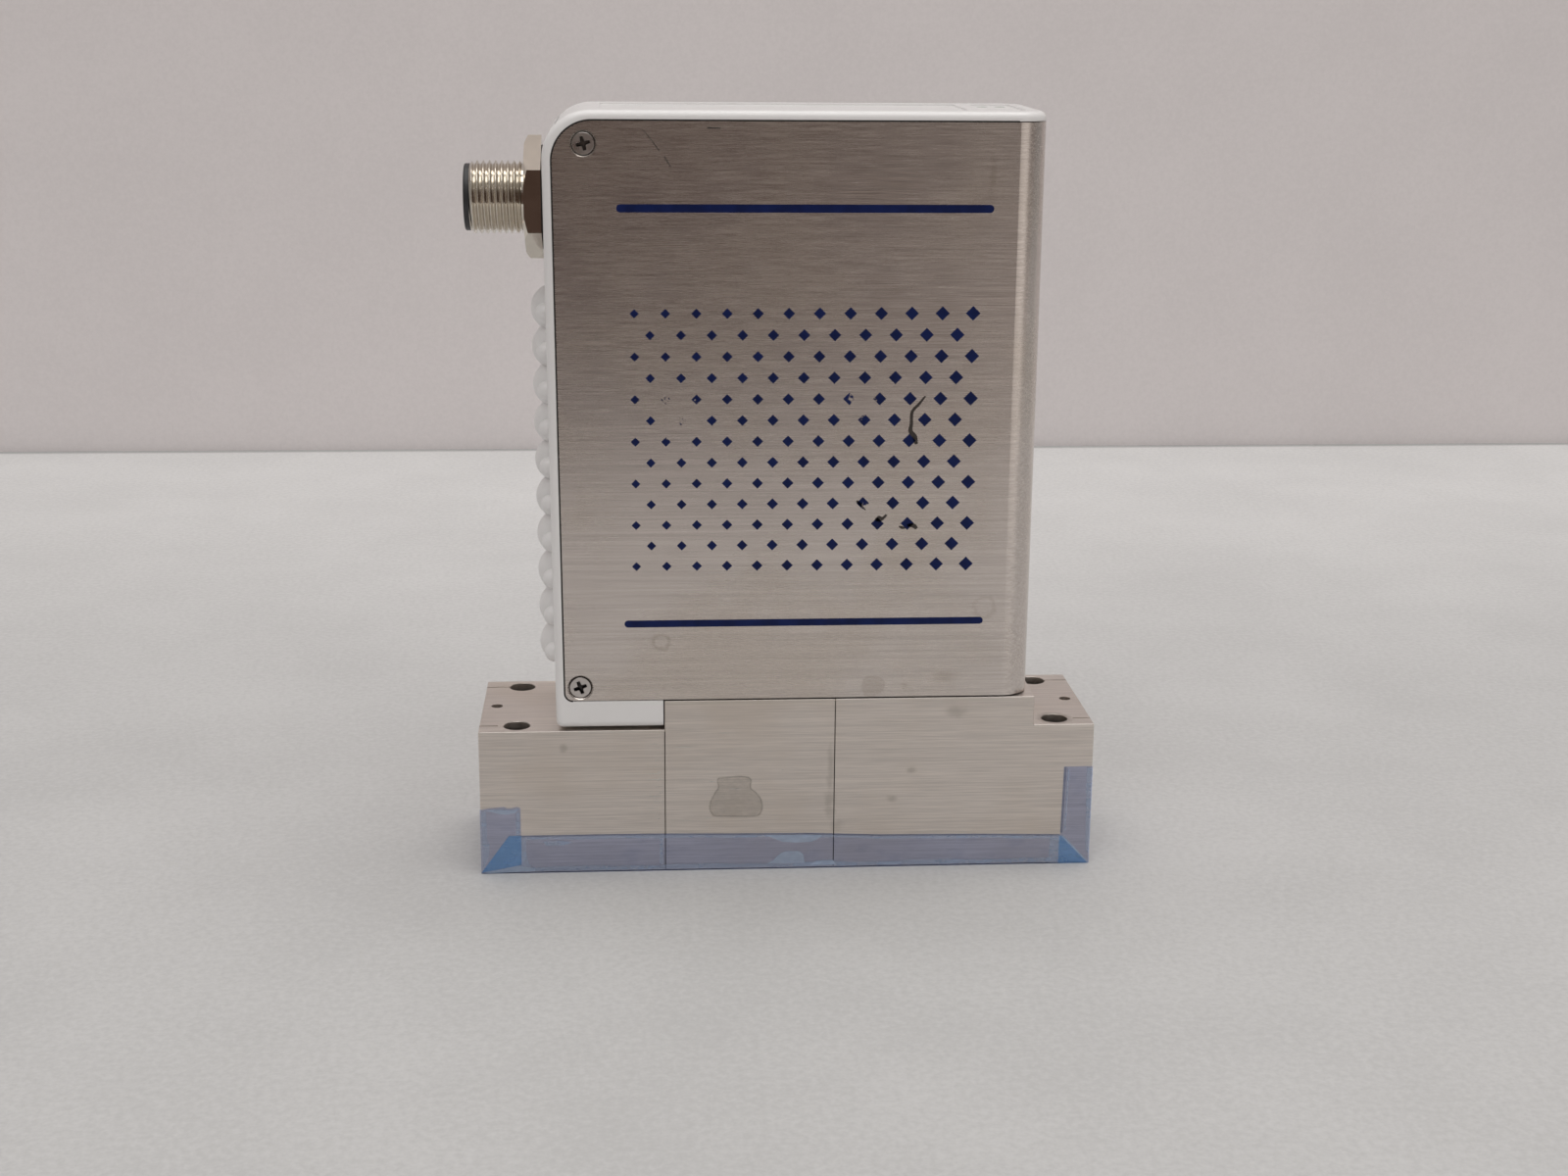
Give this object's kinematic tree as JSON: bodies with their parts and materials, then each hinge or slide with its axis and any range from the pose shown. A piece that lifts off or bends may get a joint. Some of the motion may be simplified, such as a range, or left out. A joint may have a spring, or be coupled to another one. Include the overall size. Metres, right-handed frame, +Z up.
{
  "type": "mass flow controller",
  "caption": "Surface-mount thermal mass flow controller: steel gas blocks with laminar bypass, flow sensor and solenoid valve under a moulded housing with a folded steel cover.",
  "frame": {"origin": "centre of the four mounting holes, on the sealing face under the base", "axes": "+X along the gas flow from inlet to outlet, +Y to the back, +Z up, out of the mounting holes"},
  "size_m": [0.1057, 0.0288, 0.1282],
  "materials": {
    "base_steel": "fine-milled, slightly warm grey",
    "inner_steel": "turned and cleaned",
    "screw_steel": "bright stainless",
    "cover_screw_steel": "dulled stainless",
    "seat_plastic": "ivory fluoropolymer",
    "copper": "fine copper wire",
    "coil_tape": "amber tape over copper",
    "coil_black": "black moulding",
    "zinc_plate": "zinc plated",
    "board_green": "green solder mask",
    "chip_black": "moulded black",
    "capacitor_can": "drawn can",
    "header_cream": "natural nylon",
    "flex_amber": "polyimide",
    "lead_red": "silicone insulation",
    "housing_white": "white, lightly glossy",
    "cover_steel": "brushed along its length, with navy print",
    "light_guide": "translucent light guide",
    "nickel": "nickel plated brass, warm",
    "connector_black": "black insert",
    "gold_pin": "gold plated",
    "seal_rubber": "black ring",
    "film_blue": "translucent blue adhesive film"
  },
  "bodies": {
    "controller": {"board_bracket": "zinc_plate", "board_capacitors": "capacitor_can", "board_chips": "chip_black", "board_headers": "header_cream", "board_link": "header_cream", "board_screws": "screw_steel", "bracket_screw": "screw_steel", "bypass_block": "base_steel", "coil_bobbin": "coil_black", "coil_nut": "screw_steel", "coil_winding": "coil_tape", "coil_yoke": "zinc_plate", "connector_board": "board_green", "core_tube": "inner_steel", "cover_screws": "cover_screw_steel", "foot_screws": "screw_steel", "gallery_plug": "inner_steel", "housing": "housing_white", "inlet_block": "base_steel", "inlet_tie_screws": "screw_steel", "laminar_flow_element": "inner_steel", "m12_insert": "connector_black", "m12_locknut": "nickel", "m12_pins": "gold_pin", "m12_seal": "seal_rubber", "m12_shell": "nickel", "main_board": "board_green", "outlet_block": "base_steel", "outlet_tie_screws": "screw_steel", "plunger_spring": "inner_steel", "pole_piece": "inner_steel", "power_converter": "chip_black", "processor_chip": "chip_black", "protective_film": "film_blue", "seam_seals": "inner_steel", "sensor_base": "inner_steel", "sensor_can": "inner_steel", "sensor_flex": "flex_amber", "sensor_screws": "screw_steel", "sensor_seals": "inner_steel", "sensor_tube": "inner_steel", "sensor_windings": "copper", "status_lights": "light_guide", "steel_cover": "cover_steel", "valve_body_seal": "inner_steel", "valve_leads": "lead_red", "valve_orifice": "inner_steel", "valve_screws": "screw_steel"},
    "valve_plunger": {"plunger": "inner_steel", "plunger_seal": "seat_plastic"}
  },
  "joints": [
    {"name": "valve_stroke", "type": "slide", "parent": "controller", "child": "valve_plunger", "axis": [0, 0, 1], "range_m": [0, 0.0003], "stiffness_N_per_m": 1000, "springref_m": -0.001, "deforming": ["plunger_spring"]}
  ]
}
